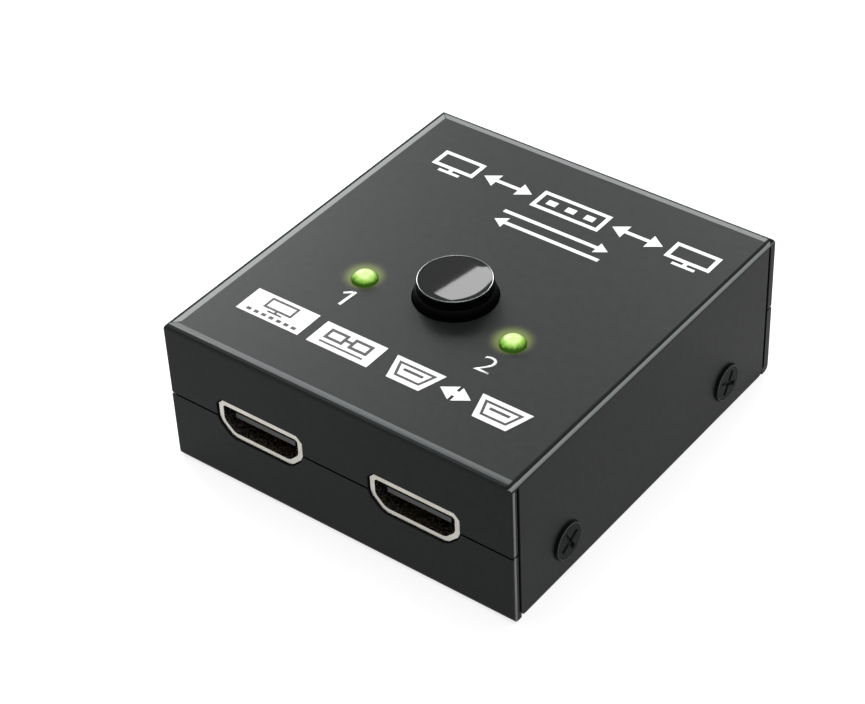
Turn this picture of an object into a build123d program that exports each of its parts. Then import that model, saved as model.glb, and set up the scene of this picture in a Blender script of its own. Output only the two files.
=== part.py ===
from build123d import *
import os

# Video switch box: two sockets in front, one behind, a latching push button and two signal lamps.
# A folded steel cover drops over a folded steel tray that carries the circuit board.
# Millimetres, +Z up, -Y at the two front sockets, origin on the table under the middle of the housing.

# Housing
body_width = 62.0
body_depth = 67.3
body_height = 25.3
sheet = 1.2                 # steel with its coat of paint
top_bend = 1.0              # outside radius of the folds round the top plate
bottom_bend = 1.0           # outside radius of the folds round the bottom plate
seam_height = 12.3          # cover and tray meet here, across the middle of the sockets
seam_gap = 0.3
relief_gap = 0.5            # slot between a side flap and the end flap beside it
flap_corner = 1.0           # round on the lower corners of the side flaps
table_gap = 0.1             # the side flaps stop short of the table
flange_gap = 0.15           # between a side flap and the tray flange inside it
flange_height = 11.0
flange_length = 58.0

# Side screws
side_screw_spread = 41.8    # between the two screws of one side
side_screw_height = 6.1
screw_head_diameter = 6.4
screw_head_height = 0.5     # above the side flap
screw_head_taper = 30       # degrees, round the head's rim
screw_diameter = 3.5
screw_length = 5.6          # under the head
recess_length = 4.1         # cross recess, from arm end to arm end
recess_width = 0.7
recess_depth = 0.4
recess_taper = 12           # degrees
recess_turns = (12, 73, 28, 59)    # degrees, each screw as it was driven home
thread_play = 0.05

# Sockets
socket_spread = 28.0        # between the two front sockets
rear_socket_x = 0.0
mouth_width = 14.0
mouth_height = 4.55
mouth_floor_width = 10.4
mouth_side_height = 2.8     # straight part of the mouth's sides, down from its top
mouth_corner = 0.35
mouth_recess = 0.3          # the mouth lies this far inside the end flap's face
shell_sheet = 0.3
shell_depth = 11.6
lip_width = 0.5             # rolled lip round the mouth
cutout_gap = 0.25           # between the lip and the housing's cut-out
leg_width = 1.4
leg_depths = (4.5, 9.5)     # from the mouth to the middle of each pair of legs
leg_overrun = 0.8           # below the board
tail_room = 1.9             # inside the back of the shell, for the contact tails
tongue_width = 11.2
tongue_thickness = 0.9
tongue_rise = 0.25          # above the middle of the mouth
tongue_setback = 1.0        # from the mouth to the tongue's tip
block_depth = 8.0           # from the mouth to the block that carries the tongue
block_gap = 0.05            # between the block and the shell
contact_pitch = 1.0
contact_width = 0.42
contact_thickness = 0.2
contact_setback = 0.5       # from the tongue's tip to the contact's tip
slot_end_play = 0.1         # beside the outer contacts, in the block's slot
upper_contacts = 10
lower_contacts = 9
upper_tail_step = 1.3       # behind the block
lower_tail_step = 0.6

# Circuit board
board_thickness = 1.6
board_corner = 1.0
board_side_gap = 1.45       # from the board's edge to the tray's flange
board_edge_gap = 0.85       # from the board's edge to the end flap
standoff_flats = 5.0
standoff_inset = 4.5        # from the board's side edge
standoff_rear_inset = 5.6   # from the board's rear edge
standoff_setback = 7.75     # behind the backs of the front sockets
standoff_bore_depth = 5.0
board_screw_diameter = 2.5
board_screw_head = 4.5      # across its flats
board_screw_head_height = 1.5
board_screw_length = 4.5    # under the head
board_hole_play = 0.15
slot_play = 0.15            # round legs, leads and terminals in the board

# Push button
button_y = -4.4
button_travel = 2.0
cap_rise = 3.1              # the ring's top above the top plate
cap_diameter = 11.5
skirt_diameter = 12.5
skirt_band = 0.4            # straight part of the skirt that shows
flare_height = 1.2
skirt_drop = 2.4            # skirt below the top plate's underside
cap_play = 0.18             # between the skirt and its hole
cap_wall = 1.0
ring_width = 0.35
ring_height = 0.35
disc_thickness = 0.6
disc_sink = 0.1             # disc's face below the ring's top
disc_bevel = 0.95
disc_bevel_drop = 0.1
disc_play = 0.05
boss_size = 4.8
boss_length = 4.0
stem_size = 3.0
stem_play = 0.06

# Push switch
switch_size = 8.5
switch_base_height = 0.8
switch_height = 7.0
switch_wall = 0.7
switch_roof = 0.9
collar_size = 5.6
collar_height = 1.2
guide_diameter = 2.4
guide_play = 0.17           # guide pin above the switch base at full travel
spring_wire = 0.4
spring_diameter = 3.6       # to the middle of the wire
spring_turns = 3
terminal_pitch = 2.5
terminal_width = 0.8
terminal_thickness = 0.25
terminal_overrun = 1.0      # below the board
bridge_play = 0.05
bridge_span = 4.4
bridge_height = 0.9

# Signal lamps
lamp_spread = 26.8
lamp_y = -8.8
lamp_diameter = 4.0
lamp_rise = 1.3             # above the top plate
dome_height = 1.25          # domed part of the lens
lamp_length = 5.4
lamp_play = 0.08
lead_size = 0.5
lead_pitch = 2.54
lead_overrun = 1.0          # below the board

# Electronics
chip_size = 7.0
chip_height = 1.0
chip_y = 9.0
resistor_length = 1.6
resistor_width = 0.8
resistor_height = 0.55
resistor_pitch = 2.0
resistors_per_row = 7
resistor_row_step = 3.2     # from the back of a socket to the first row

# Worked out from the sizes above
half_width = body_width / 2
half_depth = body_depth / 2
inside_half_width = half_width - sheet
inside_half_depth = half_depth - sheet
flap_half_length = inside_half_depth - relief_gap
tray_half_width = inside_half_width - flange_gap
mouth_y = half_depth - mouth_recess
board_top = seam_height - mouth_height / 2 - shell_sheet
board_bottom = board_top - board_thickness
board_width = 2 * (tray_half_width - sheet - board_side_gap)
board_depth = 2 * (inside_half_depth - board_edge_gap)
standoff_x = board_width / 2 - standoff_inset
standoff_front_y = shell_depth + standoff_setback - mouth_y
standoff_rear_y = board_depth / 2 - standoff_rear_inset
cap_top = body_height + cap_rise
cap_ledge = cap_top - ring_height
disc_seat = cap_top - disc_sink - disc_thickness
skirt_bottom = body_height - sheet - skirt_drop
switch_base_top = board_top + switch_base_height
switch_top = board_top + switch_height
collar_top = switch_top - switch_roof
collar_bottom = collar_top - collar_height
cavity_half = switch_size / 2 - switch_wall
lamp_top = body_height + lamp_rise
lamp_base = lamp_top - lamp_length

button_axis = Plane.XZ.offset(-button_y)
mouths = {
    "front_left": Plane((-socket_spread / 2, -mouth_y, seam_height), x_dir=(1, 0, 0), z_dir=(0, -1, 0)),
    "front_right": Plane((socket_spread / 2, -mouth_y, seam_height), x_dir=(1, 0, 0), z_dir=(0, -1, 0)),
    "rear": Plane((rear_socket_x, mouth_y, seam_height), x_dir=(-1, 0, 0), z_dir=(0, 1, 0)),
}
standoff_spots = [(x, y) for x in (-standoff_x, standoff_x) for y in (standoff_front_y, standoff_rear_y)]
lamp_spots = [(-lamp_spread / 2, lamp_y), (lamp_spread / 2, lamp_y)]
lead_spots = [(x + step, y) for x, y in lamp_spots for step in (-lead_pitch / 2, lead_pitch / 2)]
terminal_x = cavity_half - terminal_thickness / 2
terminal_spots = [
    (side * terminal_x, button_y + row * terminal_pitch) for side in (-1, 1) for row in (-1, 0, 1)
]

os.makedirs("parts", exist_ok=True)


def screw_planes(x):
    """Planes at the four side screws, x from the middle, facing out of the box."""
    return [
        Plane((side * x, end * side_screw_spread / 2, side_screw_height), z_dir=(side, 0, 0))
        for side in (-1, 1)
        for end in (-1, 1)
    ]


def mouth_outline(grow):
    """The outline of a socket's mouth, wide at the top, grown all round by grow."""
    top = mouth_height / 2
    half_top = mouth_width / 2
    half_floor = mouth_floor_width / 2
    knee = top - mouth_side_height
    with BuildSketch() as outline:
        with BuildLine():
            Polyline(
                (-half_top, top), (half_top, top), (half_top, knee),
                (half_floor, -top), (-half_floor, -top), (-half_top, knee), close=True,
            )
        make_face()
        chamfer(outline.vertices(), mouth_corner)
        offset(amount=grow, kind=Kind.INTERSECTION)
    return outline.sketch


# Openings that the cover and the tray leave round the sockets, half in each
with BuildPart() as socket_openings:
    for mouth in mouths.values():
        with BuildSketch(mouth):
            add(mouth_outline(shell_sheet + lip_width + cutout_gap))
        extrude(amount=sheet + cutout_gap, both=True)

# Folded cover
with BuildPart() as top_cover:
    with BuildSketch(Plane.XY.offset(table_gap)):
        Rectangle(body_width, body_depth)
    extrude(amount=body_height - table_gap)
    fillet(top_cover.edges().group_by(Axis.Z)[-1], top_bend)
    with BuildSketch(Plane.XY.offset(table_gap)):
        Rectangle(2 * inside_half_width, 2 * inside_half_depth)
    extrude(amount=body_height - sheet - table_gap, mode=Mode.SUBTRACT)
    # The front and rear flaps stop at the seam
    with BuildSketch(Plane.XY.offset(table_gap)):
        with GridLocations(1, half_depth + flap_half_length, 1, 2):
            Rectangle(body_width, half_depth - flap_half_length)
    extrude(amount=seam_height + seam_gap / 2 - table_gap, mode=Mode.SUBTRACT)
    # A slot parts each side flap from the end flap beside it, up to the fold
    with BuildSketch(Plane.XY.offset(table_gap)):
        with GridLocations(body_width - sheet, 2 * inside_half_depth - relief_gap, 2, 2):
            Rectangle(sheet, relief_gap)
    extrude(amount=body_height - top_bend - table_gap, mode=Mode.SUBTRACT)
    fillet(top_cover.edges().filter_by(Axis.X).group_by(Axis.Z)[0], flap_corner)
    add(socket_openings.part, mode=Mode.SUBTRACT)
    with Locations((0, button_y, body_height)):
        Hole(radius=skirt_diameter / 2 + cap_play, depth=sheet)
    with Locations(*[(x, y, body_height) for x, y in lamp_spots]):
        Hole(radius=lamp_diameter / 2 + lamp_play, depth=sheet)
    with Locations(*screw_planes(half_width)):
        Hole(radius=screw_diameter / 2 + thread_play, depth=sheet)
top_cover.part.label = "top_cover"
export_step(top_cover.part, "parts/top_cover.step")

# Folded tray
with BuildPart() as bottom_tray:
    with BuildSketch(Plane.YZ) as end_profile:
        Rectangle(body_depth, seam_height - seam_gap / 2, align=(Align.CENTER, Align.MIN))
        fillet(end_profile.vertices().group_by(Axis.Y)[0], bottom_bend)
        with Locations((0, sheet)):
            Rectangle(2 * inside_half_depth, seam_height, align=(Align.CENTER, Align.MIN), mode=Mode.SUBTRACT)
    extrude(amount=half_width, both=True)
    # The plate is narrower than the end flaps, so that the cover's side flaps pass it
    with BuildSketch(Plane.XY):
        with GridLocations(half_width + tray_half_width, 1, 2, 1):
            Rectangle(half_width - tray_half_width, 2 * flap_half_length)
    extrude(amount=sheet, mode=Mode.SUBTRACT)
    # Inner flanges that take the side screws
    with BuildSketch(Plane.XY):
        with GridLocations(2 * tray_half_width - sheet, 1, 2, 1):
            Rectangle(sheet, flange_length)
    extrude(amount=flange_height)
    plate_sides = bottom_tray.edges().filter_by(Axis.Y).group_by(Axis.Z)[0].sort_by(SortBy.LENGTH)[-2:]
    fillet(plate_sides, bottom_bend)
    with Locations(*screw_planes(tray_half_width)):
        Hole(radius=screw_diameter / 2 + thread_play, depth=sheet)
    add(socket_openings.part, mode=Mode.SUBTRACT)
bottom_tray.part.label = "bottom_tray"
export_step(bottom_tray.part, "parts/bottom_tray.step")

# Low-headed side screws, seated on the cover and tapped into the tray's flanges
with BuildPart() as side_screws:
    for seat, first_turn in zip(screw_planes(half_width), recess_turns):
        with BuildSketch(seat):
            Circle(screw_head_diameter / 2)
        extrude(amount=screw_head_height, taper=screw_head_taper)
        with BuildSketch(seat):
            Circle(screw_diameter / 2)
        extrude(amount=-screw_length)
        for turn in (first_turn, first_turn + 90):
            with BuildSketch(seat.offset(screw_head_height)):
                Rectangle(recess_length, recess_width, rotation=turn)
            extrude(amount=-recess_depth, taper=recess_taper, mode=Mode.SUBTRACT)
side_screws.part.label = "side_screws"
export_step(side_screws.part, "parts/side_screws.step")

# Circuit board with its holes
with BuildPart() as circuit_board:
    with BuildSketch(Plane.XY.offset(board_bottom)) as board_outline:
        Rectangle(board_width, board_depth)
        fillet(board_outline.vertices(), board_corner)
        with Locations(*standoff_spots):
            Circle(board_screw_diameter / 2 + board_hole_play, mode=Mode.SUBTRACT)
        with Locations(*lead_spots):
            Rectangle(lead_size + 2 * slot_play, lead_size + 2 * slot_play, mode=Mode.SUBTRACT)
        with Locations(*terminal_spots):
            Rectangle(terminal_thickness + 2 * slot_play, terminal_width + 2 * slot_play, mode=Mode.SUBTRACT)
    extrude(amount=board_thickness)
    for mouth in mouths.values():
        with BuildSketch(Plane.XY.offset(board_bottom)):
            for depth in leg_depths:
                leg_row = mouth.from_local_coords((0, 0, -depth))
                with Locations((leg_row.X, leg_row.Y)):
                    with GridLocations(mouth_width + shell_sheet, 1, 2, 1):
                        Rectangle(shell_sheet + 2 * slot_play, leg_width + 2 * slot_play)
        extrude(amount=board_thickness, mode=Mode.SUBTRACT)
circuit_board.part.label = "circuit_board"
export_step(circuit_board.part, "parts/circuit_board.step")

# Hexagonal standoffs, clinched blind into the tray
with BuildPart() as board_standoffs:
    with BuildSketch(Plane.XY.offset(sheet)):
        with Locations(*standoff_spots):
            RegularPolygon(standoff_flats / 2, 6, major_radius=False)
    extrude(amount=board_bottom - sheet)
    with Locations(*[(x, y, board_bottom) for x, y in standoff_spots]):
        Hole(radius=board_screw_diameter / 2 + thread_play, depth=standoff_bore_depth)
board_standoffs.part.label = "board_standoffs"
export_step(board_standoffs.part, "parts/board_standoffs.step")

# Hexagon-head screws that hold the board down
with BuildPart() as board_screws:
    with BuildSketch(Plane.XY.offset(board_top)):
        with Locations(*standoff_spots):
            RegularPolygon(board_screw_head / 2, 6, major_radius=False)
    extrude(amount=board_screw_head_height)
    with BuildSketch(Plane.XY.offset(board_top)):
        with Locations(*standoff_spots):
            Circle(board_screw_diameter / 2)
    extrude(amount=-board_screw_length)
board_screws.part.label = "board_screws"
export_step(board_screws.part, "parts/board_screws.step")

# Three video sockets
block_back = shell_depth - shell_sheet - tail_room
board_drop = seam_height - board_top
tongue_top = tongue_rise + tongue_thickness / 2
tongue_bottom = tongue_rise - tongue_thickness / 2
for place, mouth in mouths.items():
    # Pressed shell with a rolled lip, a closed back and four legs
    with BuildPart() as shell:
        with BuildSketch(mouth):
            add(mouth_outline(shell_sheet))
        extrude(amount=-shell_depth)
        with BuildSketch(mouth):
            add(mouth_outline(shell_sheet + lip_width))
        extrude(amount=-shell_sheet)
        with BuildSketch(mouth):
            add(mouth_outline(0))
        extrude(amount=-(shell_depth - shell_sheet), mode=Mode.SUBTRACT)
        # The floor is open at the back, over the contact tails
        with BuildSketch(mouth.offset(-block_back)):
            with Locations((0, -mouth_height / 2 - shell_sheet / 2)):
                Rectangle(mouth_floor_width - mouth_corner, 3 * shell_sheet)
        extrude(amount=-tail_room, mode=Mode.SUBTRACT)
        for depth in leg_depths:
            with BuildSketch(mouth.offset(-(depth - leg_width / 2))):
                leg_top = mouth_height / 2 - mouth_side_height + mouth_corner
                leg_length = leg_top + board_drop + board_thickness + leg_overrun
                with Locations((0, leg_top)):
                    with GridLocations(mouth_width + shell_sheet, 1, 2, 1):
                        Rectangle(shell_sheet, leg_length, align=(Align.CENTER, Align.MAX))
            extrude(amount=-leg_width)
    shell.part.label = f"{place}_socket_shell"
    export_step(shell.part, f"parts/{place}_socket_shell.step")

    # Moulded insulator: a block across the shell with a slot for each row of contacts, and a tongue
    with BuildPart() as insulator:
        with BuildSketch(mouth.offset(-block_depth)):
            add(mouth_outline(-block_gap))
        extrude(amount=-(block_back - block_depth))
        with BuildSketch(mouth.offset(-tongue_setback)):
            with Locations((0, tongue_rise)):
                Rectangle(tongue_width, tongue_thickness)
        extrude(amount=-(block_depth - tongue_setback))
        with BuildSketch(mouth.offset(-block_depth)):
            for count, level, edge in (
                (upper_contacts, tongue_top, Align.MIN),
                (lower_contacts, tongue_bottom, Align.MAX),
            ):
                slot_width = (count - 1) * contact_pitch + contact_width + 2 * slot_end_play
                with Locations((0, level)):
                    Rectangle(slot_width, contact_thickness, align=(Align.CENTER, edge))
        extrude(amount=-(block_back - block_depth), mode=Mode.SUBTRACT)
    insulator.part.label = f"{place}_socket_insulator"
    export_step(insulator.part, f"parts/{place}_socket_insulator.step")

    # Each contact lies on the tongue, passes the block and turns down to the board
    with BuildPart() as contacts:
        tip = tongue_setback + contact_setback
        for count, low, step in (
            (upper_contacts, tongue_top, upper_tail_step),
            (lower_contacts, tongue_bottom - contact_thickness, lower_tail_step),
        ):
            tail = block_back + step
            high = low + contact_thickness
            for column in range(count):
                spot = (column - (count - 1) / 2) * contact_pitch
                side_view = Plane(
                    mouth.from_local_coords((spot - contact_width / 2, 0, 0)),
                    x_dir=-mouth.z_dir, z_dir=mouth.x_dir,
                )
                with BuildSketch(side_view):
                    with BuildLine():
                        Polyline(
                            (tip, low), (tip, high), (tail, high), (tail, -board_drop),
                            (tail - contact_thickness, -board_drop), (tail - contact_thickness, low),
                            close=True,
                        )
                    make_face()
                extrude(amount=contact_width)
    contacts.part.label = f"{place}_socket_contacts"
    export_step(contacts.part, f"parts/{place}_socket_contacts.step")

# Button cap: a hollow turned form with a flared skirt and a boss for the switch stem
with BuildPart() as button_cap:
    cap_radius = cap_diameter / 2
    skirt_radius = skirt_diameter / 2
    flare_bottom = body_height + skirt_band
    with BuildSketch(button_axis):
        with BuildLine():
            Polyline(
                (0, disc_seat), (cap_radius - ring_width, disc_seat), (cap_radius - ring_width, cap_ledge),
                (cap_radius, cap_ledge), (cap_radius, flare_bottom + flare_height),
                (skirt_radius, flare_bottom), (skirt_radius, skirt_bottom),
                (cap_radius - cap_wall, skirt_bottom), (cap_radius - cap_wall, disc_seat - cap_wall),
                (0, disc_seat - cap_wall), close=True,
            )
        make_face()
    revolve(axis=Axis((0, button_y, 0), (0, 0, 1)))
    with BuildSketch(Plane.XY.offset(disc_seat - cap_wall)):
        with Locations((0, button_y)):
            Rectangle(boss_size, boss_size)
            Rectangle(stem_size + 2 * stem_play, stem_size + 2 * stem_play, mode=Mode.SUBTRACT)
    extrude(amount=-boss_length)
button_cap.part.label = "button_cap"
export_step(button_cap.part, "parts/button_cap.step")

# Bright ring on the cap's ledge
with BuildPart() as button_ring:
    with BuildSketch(Plane.XY.offset(cap_ledge)):
        with Locations((0, button_y)):
            Circle(cap_diameter / 2)
            Circle(cap_diameter / 2 - ring_width, mode=Mode.SUBTRACT)
    extrude(amount=ring_height)
button_ring.part.label = "button_ring"
export_step(button_ring.part, "parts/button_ring.step")

# Gloss disc with a bevelled border
with BuildPart() as button_disc:
    with BuildSketch(Plane.XY.offset(disc_seat)):
        with Locations((0, button_y)):
            Circle(cap_diameter / 2 - ring_width - disc_play)
    extrude(amount=disc_thickness)
    disc_rim = button_disc.edges().group_by(Axis.Z)[-1]
    chamfer(disc_rim, length=disc_bevel_drop, length2=disc_bevel)
button_disc.part.label = "button_disc"
export_step(button_disc.part, "parts/button_disc.step")

# Push switch: moulded base on the board
with BuildPart() as switch_base:
    with BuildSketch(Plane.XY.offset(board_top)):
        with Locations((0, button_y)):
            Rectangle(switch_size, switch_size)
        with Locations(*terminal_spots):
            Rectangle(terminal_thickness, terminal_width, mode=Mode.SUBTRACT)
    extrude(amount=switch_base_height)
switch_base.part.label = "switch_base"
export_step(switch_base.part, "parts/switch_base.step")

# Switch housing over the base, with a square guide for the stem
with BuildPart() as switch_housing:
    with BuildSketch(Plane.XY.offset(switch_base_top)):
        with Locations((0, button_y)):
            Rectangle(switch_size, switch_size)
    extrude(amount=switch_top - switch_base_top)
    with BuildSketch(Plane.XY.offset(switch_base_top)):
        with Locations((0, button_y)):
            Rectangle(2 * cavity_half, 2 * cavity_half)
    extrude(amount=collar_top - switch_base_top, mode=Mode.SUBTRACT)
    with BuildSketch(Plane.XY.offset(collar_top)):
        with Locations((0, button_y)):
            Rectangle(stem_size + 2 * stem_play, stem_size + 2 * stem_play)
    extrude(amount=switch_roof, mode=Mode.SUBTRACT)
switch_housing.part.label = "switch_housing"
export_step(switch_housing.part, "parts/switch_housing.step")

# Plunger: stem up into the cap's boss, collar under the switch roof, guide pin in the spring
stem_top = disc_seat - cap_wall - stem_play
with BuildPart() as switch_plunger:
    with BuildSketch(Plane.XY.offset(collar_bottom)):
        with Locations((0, button_y)):
            Rectangle(collar_size, collar_size)
    extrude(amount=collar_height)
    with BuildSketch(Plane.XY.offset(collar_top)):
        with Locations((0, button_y)):
            Rectangle(stem_size, stem_size)
    extrude(amount=stem_top - collar_top)
    with BuildSketch(Plane.XY.offset(collar_bottom)):
        with Locations((0, button_y)):
            Circle(guide_diameter / 2)
    extrude(amount=-(collar_bottom - switch_base_top - button_travel - guide_play))
switch_plunger.part.label = "switch_plunger"
export_step(switch_plunger.part, "parts/switch_plunger.step")

# Return spring between the base and the plunger's collar
spring_room = collar_bottom - switch_base_top
with BuildPart() as switch_spring:
    with BuildLine() as coil:
        Helix(
            pitch=(spring_room - spring_wire) / spring_turns,
            height=spring_room - spring_wire,
            radius=spring_diameter / 2,
            center=(0, button_y, switch_base_top + spring_wire / 2),
        )
    with BuildSketch(Plane(coil.line @ 0, x_dir=(1, 0, 0), z_dir=coil.line % 0)):
        Rectangle(spring_wire, spring_wire)
    sweep(path=coil.line, is_frenet=True)
switch_spring.part.label = "switch_spring"
export_step(switch_spring.part, "parts/switch_spring.step")

# Six terminals: a fixed contact strip inside the switch, a pin through the board
with BuildPart() as switch_terminals:
    with BuildSketch(Plane.XY.offset(board_bottom - terminal_overrun)):
        with Locations(*terminal_spots):
            Rectangle(terminal_thickness, terminal_width)
    extrude(amount=collar_bottom - board_bottom + terminal_overrun)
switch_terminals.part.label = "switch_terminals"
export_step(switch_terminals.part, "parts/switch_terminals.step")

# Contact bridges on both sides of the plunger's collar
bridge_thickness = cavity_half - terminal_thickness - bridge_play - collar_size / 2
with BuildPart() as switch_bridges:
    with BuildSketch(Plane.XY.offset(collar_bottom)):
        with Locations((0, button_y)):
            with GridLocations(collar_size + bridge_thickness, 1, 2, 1):
                Rectangle(bridge_thickness, bridge_span)
    extrude(amount=bridge_height)
switch_bridges.part.label = "switch_bridges"
export_step(switch_bridges.part, "parts/switch_bridges.step")

# Signal lamps: domed lens bodies in the top plate's holes
for number, (x, y) in enumerate(lamp_spots, start=1):
    with BuildPart() as lamp:
        radius = lamp_diameter / 2
        dome_radius = (radius ** 2 + dome_height ** 2) / (2 * dome_height)
        with BuildSketch(Plane.XZ.offset(-y)):
            with BuildLine():
                RadiusArc((x + radius, lamp_top - dome_height), (x, lamp_top), -dome_radius)
                Polyline((x, lamp_top), (x, lamp_base), (x + radius, lamp_base), (x + radius, lamp_top - dome_height))
            make_face()
        revolve(axis=Axis((x, y, 0), (0, 0, 1)))
    lamp.part.label = f"lamp_{number}"
    export_step(lamp.part, f"parts/lamp_{number}.step")

# Lamp leads down to the board
with BuildPart() as lamp_leads:
    with BuildSketch(Plane.XY.offset(board_bottom - lead_overrun)):
        with Locations(*lead_spots):
            Rectangle(lead_size, lead_size)
    extrude(amount=lamp_base - board_bottom + lead_overrun)
lamp_leads.part.label = "lamp_leads"
export_step(lamp_leads.part, "parts/lamp_leads.step")

# Video switching chip
with BuildPart() as switching_chip:
    with BuildSketch(Plane.XY.offset(board_top)):
        with Locations((0, chip_y)):
            Rectangle(chip_size, chip_size)
    extrude(amount=chip_height)
switching_chip.part.label = "switching_chip"
export_step(switching_chip.part, "parts/switching_chip.step")

# Rows of small resistors behind each socket
with BuildPart() as board_passives:
    for mouth in mouths.values():
        row = mouth.from_local_coords((0, 0, -(shell_depth + resistor_row_step)))
        with BuildSketch(Plane.XY.offset(board_top)):
            with Locations((row.X, row.Y)):
                with GridLocations(resistor_pitch, 1, resistors_per_row, 1):
                    Rectangle(resistor_width, resistor_length)
        extrude(amount=resistor_height)
board_passives.part.label = "board_passives"
export_step(board_passives.part, "parts/board_passives.step")
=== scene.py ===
"""A small video switch box: a folded steel housing with sockets, a push button and two lit signal lamps.

Sizes are in millimetres in the classes and in metres in Blender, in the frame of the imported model:
+Z up, -Y at the two front sockets, the origin on the table under the middle of the housing.
"""
import logging
import math
from dataclasses import dataclass
from enum import Enum
from functools import cache
from typing import Any, Sequence

import bpy
from mathutils import Matrix, Vector


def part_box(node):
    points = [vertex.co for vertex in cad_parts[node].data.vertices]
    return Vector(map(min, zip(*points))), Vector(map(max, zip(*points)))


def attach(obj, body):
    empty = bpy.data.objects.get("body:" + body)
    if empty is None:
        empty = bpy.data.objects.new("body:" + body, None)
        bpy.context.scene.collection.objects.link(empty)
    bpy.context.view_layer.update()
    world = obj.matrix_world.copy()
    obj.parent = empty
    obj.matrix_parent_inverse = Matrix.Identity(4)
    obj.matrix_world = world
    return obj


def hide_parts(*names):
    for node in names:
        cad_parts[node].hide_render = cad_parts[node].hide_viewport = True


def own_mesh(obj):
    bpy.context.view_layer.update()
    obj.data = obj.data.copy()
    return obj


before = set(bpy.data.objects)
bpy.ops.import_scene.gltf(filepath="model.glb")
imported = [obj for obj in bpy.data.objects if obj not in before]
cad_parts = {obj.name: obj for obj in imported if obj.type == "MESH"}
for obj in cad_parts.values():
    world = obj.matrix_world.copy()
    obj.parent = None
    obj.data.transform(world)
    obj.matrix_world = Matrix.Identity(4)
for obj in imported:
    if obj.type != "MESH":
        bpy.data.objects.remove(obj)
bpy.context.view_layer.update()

MM = 0.001
METAL = 1.0
LOG = logging.getLogger("switch_box")

Spot = tuple[float, float]
Triple = tuple[float, float, float]
Colour = tuple[float, float, float, float]
Tree = bpy.types.NodeTree
Node = bpy.types.Node
Socket = bpy.types.NodeSocket
Source = Node | Socket
Limit = tuple[Source, float, float]
Material = bpy.types.Material
Piece = bpy.types.Object


class Body(Enum):
    """The rigid bodies of the box."""

    HOUSING = "housing"
    BUTTON = "button"


class Heads(Enum):
    """Which ends of a printed arrow have a head."""

    LEFT = "left"
    RIGHT = "right"
    BOTH = "both"


class Slot(Enum):
    """Material slot names, handed along with the new pieces but not used."""

    PAINTED_STEEL = "painted_steel"
    BLACK_SCREW = "black_screw_steel"
    PLATED_STEEL = "plated_steel"
    BLACK_MOULDING = "black_moulding"
    BRIGHT_CHROME = "bright_chrome"
    SMOKED_DISC = "smoked_disc"
    GREEN_LENS = "green_lens"
    SPRING_STEEL = "spring_steel"


@dataclass(frozen=True)
class Extent:
    """The space that a CAD node takes at rest, in millimetres."""

    low: Triple
    high: Triple

    @classmethod
    def of(cls, node: str) -> "Extent":
        """Read a CAD node's box.

        Args:
            node: the CAD node's name.

        Returns:
            Its extent, to a hundredth of a millimetre.
        """
        low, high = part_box(node)
        return cls(tuple(round(c / MM, 2) for c in low), tuple(round(c / MM, 2) for c in high))

    def middle(self) -> Spot:
        """Where its upright axis stands."""
        return (self.low[0] + self.high[0]) / 2, (self.low[1] + self.high[1]) / 2

    def radius(self) -> float:
        """Half its width, which is the radius of a round node."""
        return (self.high[0] - self.low[0]) / 2


# Colour and node helpers


def linear(hex_colour: str) -> Colour:
    """Turn an sRGB colour into the linear values that Blender's shaders take.

    Args:
        hex_colour: the colour as "#rrggbb".

    Returns:
        Linear red, green and blue, with full opacity.
    """
    values = [int(hex_colour[start:start + 2], 16) / 255 for start in (1, 3, 5)]
    red, green, blue = [v / 12.92 if v <= 0.04045 else ((v + 0.055) / 1.055) ** 2.4 for v in values]
    return red, green, blue, 1.0


def add_node(
    tree: Tree, kind: str, settings: dict[str | int, Any] | None = None,
    links: dict[str | int, Source] | None = None,
) -> Node:
    """Add one node to a tree, with its settings and links.

    Args:
        tree: the node tree to add it to.
        kind: the node's type name, without the ShaderNode that it starts with.
        settings: values for its properties, or for its input sockets by name or number.
        links: what to join to its input sockets: an output socket, or a node by its first output in use.

    Returns:
        The new node.
    """
    node = tree.nodes.new("ShaderNode" + kind)
    for key, value in (settings or {}).items():
        if isinstance(key, str) and hasattr(node, key):
            setattr(node, key, value)
        else:
            node.inputs[key].default_value = value
    for key, source in (links or {}).items():
        if isinstance(source, Node):
            source = next(output for output in source.outputs if output.enabled)
        tree.links.new(source, node.inputs[key])
    return node


def with_stops(node: Node, stops: Sequence[tuple[float, Colour]]) -> Node:
    """Give a colour ramp its stops.

    Args:
        node: the colour ramp.
        stops: places from 0 to 1, in order, each with its linear colour.

    Returns:
        The same ramp.
    """
    elements = node.color_ramp.elements
    while len(elements) < len(stops):
        elements.new(0.5)
    for element, (place, colour) in zip(elements, stops):
        element.position = place
        element.color = colour
    return node


def masked(tree: Tree, limits: Sequence[Limit]) -> Node:
    """Multiply several limits into one mask.

    Args:
        tree: the material's tree.
        limits: each a length in metres, where it gives 0 and where it gives 1, in millimetres.

    Returns:
        A node that gives 1 where every limit holds.
    """
    total = None
    for length, none, full in limits:
        part = add_node(tree, "MapRange", {"From Min": none * MM, "From Max": full * MM}, {"Value": length})
        total = add_node(tree, "Math", {"operation": "MULTIPLY"}, {0: total, 1: part}) if total else part
    return total


@dataclass(frozen=True)
class FoldLine:
    """Light and shade painted on one fold beside the plate: a band in its own colour, pale for a painted
    highlight and dark for painted shade, and a dull band of painted shade without shine.

    A band's places are millimetres inward plus millimetres upward from the sharp corner that the fold
    rounds off. A fold that runs through lies over the ones it meets; the others meet at a mitre.
    """

    axis: str
    sign: int
    # pale: the band painted in the fold's own colour, a painted highlight where that colour is pale
    pale: Spot
    colour: str
    # dull: a band of painted shade, in the shade colour and with no shine
    dull: Spot | None = None
    runs_through: bool = False


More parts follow.
